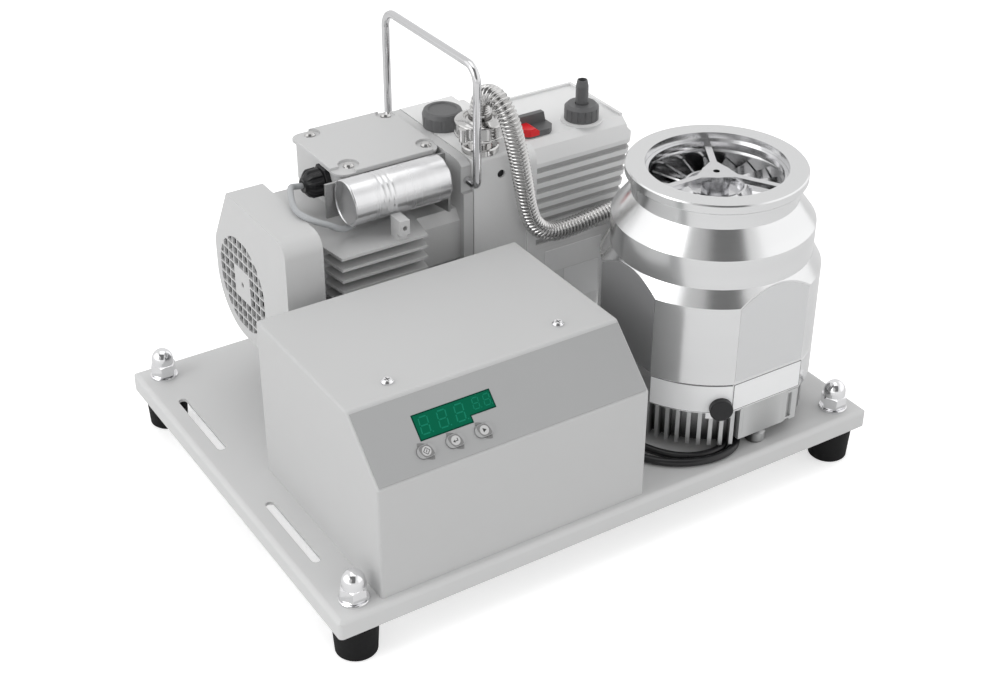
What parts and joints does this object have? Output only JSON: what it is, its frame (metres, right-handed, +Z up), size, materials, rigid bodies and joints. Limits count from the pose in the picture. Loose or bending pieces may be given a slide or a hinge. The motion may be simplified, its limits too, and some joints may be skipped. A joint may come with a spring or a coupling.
{
  "type": "turbo pumping station",
  "caption": "Bench vacuum station: turbomolecular pump, rotary vane backing pump, bellows hose and sloping controller on a folded base plate with rubber feet.",
  "frame": {"origin": "centre of the base plate on the floor under the feet", "axes": "+Z up, +X along the controller's front to the turbo pump's side, +Y from front to back"},
  "size_m": [0.45, 0.343, 0.2961],
  "materials": {
    "powder_grey": "fine powder coat",
    "pump_grey": "smooth light grey paint",
    "bare_aluminium": "turned and brushed",
    "cast_aluminium": "as cast",
    "stainless": "satin stainless",
    "chrome": "polished",
    "steel": "machined",
    "rubber": "matt black",
    "black_plastic": "moulded",
    "dark_plastic": "moulded",
    "key_grey": "membrane",
    "overlay": "printed film",
    "red_plastic": "moulded",
    "display": "tinted window",
    "board": "circuit board",
    "cable_black": "jacket",
    "cable_grey": "jacket",
    "glass": "clear",
    "copper": "winding"
  },
  "bodies": {
    "station": {"base_plate": "powder_grey", "rubber_feet": "rubber", "foot_washers": "chrome", "dome_nuts": "chrome", "controller_chassis": "powder_grey", "controller_cover": "powder_grey", "panel_overlay": "overlay", "display_window": "display", "control_board": "board", "power_supply": "steel", "mains_inlet": "black_plastic", "cover_screws": "chrome", "turbo_envelope": "bare_aluminium", "turbo_housing_ring": "bare_aluminium", "turbo_base": "cast_aluminium", "turbo_motor_stator": "copper", "inlet_spider": "bare_aluminium", "stator_stack": "bare_aluminium", "turbo_bearing": "steel", "vent_plug": "black_plastic", "backing_port": "stainless", "cable_plugs": "black_plastic", "turbo_cable": "cable_black", "bellows_hose": "stainless", "hose_flanges": "stainless", "hose_clamps": "chrome", "wing_nuts": "chrome", "centring_rings": "stainless", "inlet_port": "stainless", "motor_housing": "pump_grey", "fan_cover": "pump_grey", "motor_stator": "copper", "motor_bearings": "steel", "pump_block": "pump_grey", "oil_box": "pump_grey", "filler_plug": "dark_plastic", "outlet_nozzle": "dark_plastic", "nozzle_nut": "dark_plastic", "terminal_box": "pump_grey", "terminal_lid": "pump_grey", "lid_screws": "stainless", "cable_gland": "black_plastic", "capacitor": "bare_aluminium", "capacitor_bracket": "steel", "capacitor_cable": "cable_grey", "pump_feet": "rubber", "sight_glass": "glass"},
    "turbo_spindle": {"turbo_rotor": "bare_aluminium", "turbo_shaft": "steel"},
    "motor_spindle": {"cooling_fan": "dark_plastic", "motor_rotor": "steel", "pump_rotor": "steel", "pump_vanes": "dark_plastic"},
    "start_key": {"start_button": "key_grey"},
    "enter_key": {"enter_button": "key_grey"},
    "cycle_key": {"cycle_button": "key_grey"},
    "mains_rocker": {"rocker_switch": "black_plastic"},
    "ballast_knob": {"ballast_lever": "dark_plastic", "lever_insert": "red_plastic"},
    "handle": {"lifting_handle": "chrome"}
  },
  "joints": [
    {"name": "turbo_spin", "type": "hinge", "parent": "station", "child": "turbo_spindle", "pos_m": [0.1294, -0.088, 0.12], "axis": [0, 0, 1], "continuous": true},
    {"name": "motor_spin", "type": "hinge", "parent": "station", "child": "motor_spindle", "pos_m": [0, 0.1018, 0.134], "axis": [1, 0, 0], "continuous": true},
    {"name": "start_press", "type": "slide", "parent": "station", "child": "start_key", "axis": [0, 0.6895, -0.7243], "range_m": [0, 0.0008], "stiffness_N_per_m": 600},
    {"name": "enter_press", "type": "slide", "parent": "station", "child": "enter_key", "axis": [0, 0.6895, -0.7243], "range_m": [0, 0.0008], "stiffness_N_per_m": 600},
    {"name": "cycle_press", "type": "slide", "parent": "station", "child": "cycle_key", "axis": [0, 0.6895, -0.7243], "range_m": [0, 0.0008], "stiffness_N_per_m": 600},
    {"name": "mains_switch", "type": "hinge", "parent": "station", "child": "mains_rocker", "pos_m": [-0.1486, -0.001, 0.1165], "axis": [1, 0, 0], "range_deg": [0, 16]},
    {"name": "ballast_turn", "type": "hinge", "parent": "station", "child": "ballast_knob", "pos_m": [0.084, 0.083, 0.208], "axis": [0, 0, 1], "range_deg": [0, 90]},
    {"name": "handle_tilt", "type": "hinge", "parent": "station", "child": "handle", "pos_m": [0.0073, 0.1018, 0.199], "axis": [0, 1, 0], "range_deg": [-11, 5]}
  ]
}
